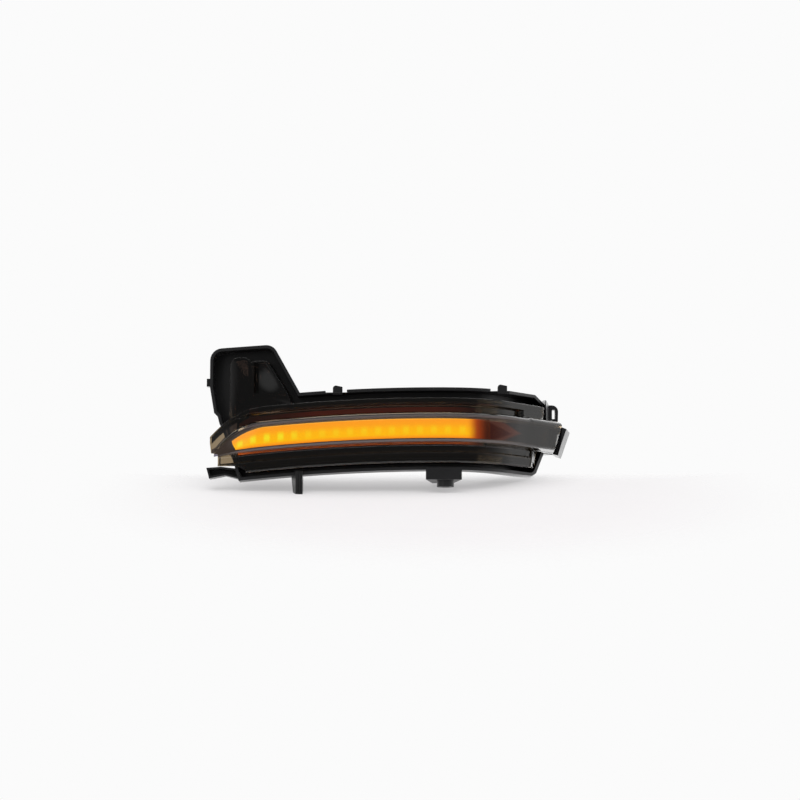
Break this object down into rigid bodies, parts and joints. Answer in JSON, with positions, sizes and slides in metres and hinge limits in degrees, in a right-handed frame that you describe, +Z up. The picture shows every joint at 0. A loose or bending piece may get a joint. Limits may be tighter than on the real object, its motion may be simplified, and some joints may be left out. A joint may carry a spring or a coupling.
{
  "type": "mirror turn signal lamp",
  "caption": "Turn signal lamp for a car's door mirror: a smoked, wrapped lens strip over a lit amber light guide in a black case with pocket, boss and locating leg.",
  "frame": {"origin": "centre of the mouth of the mounting boss under the case", "axes": "+X along the lamp towards its outboard end, +Y back into the mirror, +Z up; the boss opens along -Z"},
  "size_m": [0.2171, 0.0796, 0.0878],
  "materials": {
    "case_plastic": "moulded black ABS, satin",
    "smoked_lens": "polished smoked polycarbonate",
    "seal_rubber": "cured sealant, matt",
    "bezel_plastic": "moulded black, semi-gloss",
    "amber_guide": "amber acrylic, lit",
    "white_plastic": "white reflector plastic",
    "white_board": "white solder mask",
    "led_resin": "amber resin",
    "chip_black": "moulded epoxy",
    "screw_steel": "zinc plated",
    "green_board": "green solder mask",
    "ferrite": "sintered ferrite",
    "can_aluminium": "drawn can",
    "capacitor_ceramic": "fired ceramic",
    "link_film": "polyimide film",
    "carrier_plastic": "moulded, matt",
    "pin_brass": "tin-plated brass",
    "vent_plastic": "porous membrane cap"
  },
  "bodies": {
    "root": {"housing": "case_plastic", "lens": "smoked_lens", "seal_bead": "seal_rubber", "bezel": "bezel_plastic", "light_guide": "amber_guide", "reflector": "white_plastic", "light_board": "white_board", "leds": "led_resin", "light_resistors": "chip_black", "light_board_screws": "screw_steel", "driver_board": "green_board", "driver_chip": "chip_black", "regulator": "chip_black", "inductor": "ferrite", "filter_capacitor": "can_aluminium", "polarity_diode": "chip_black", "driver_resistors": "chip_black", "ceramic_capacitors": "capacitor_ceramic", "driver_board_screws": "screw_steel", "board_link": "link_film", "pin_carrier": "carrier_plastic", "connector_pins": "pin_brass", "vent_cap": "vent_plastic"}
  },
  "joints": []
}
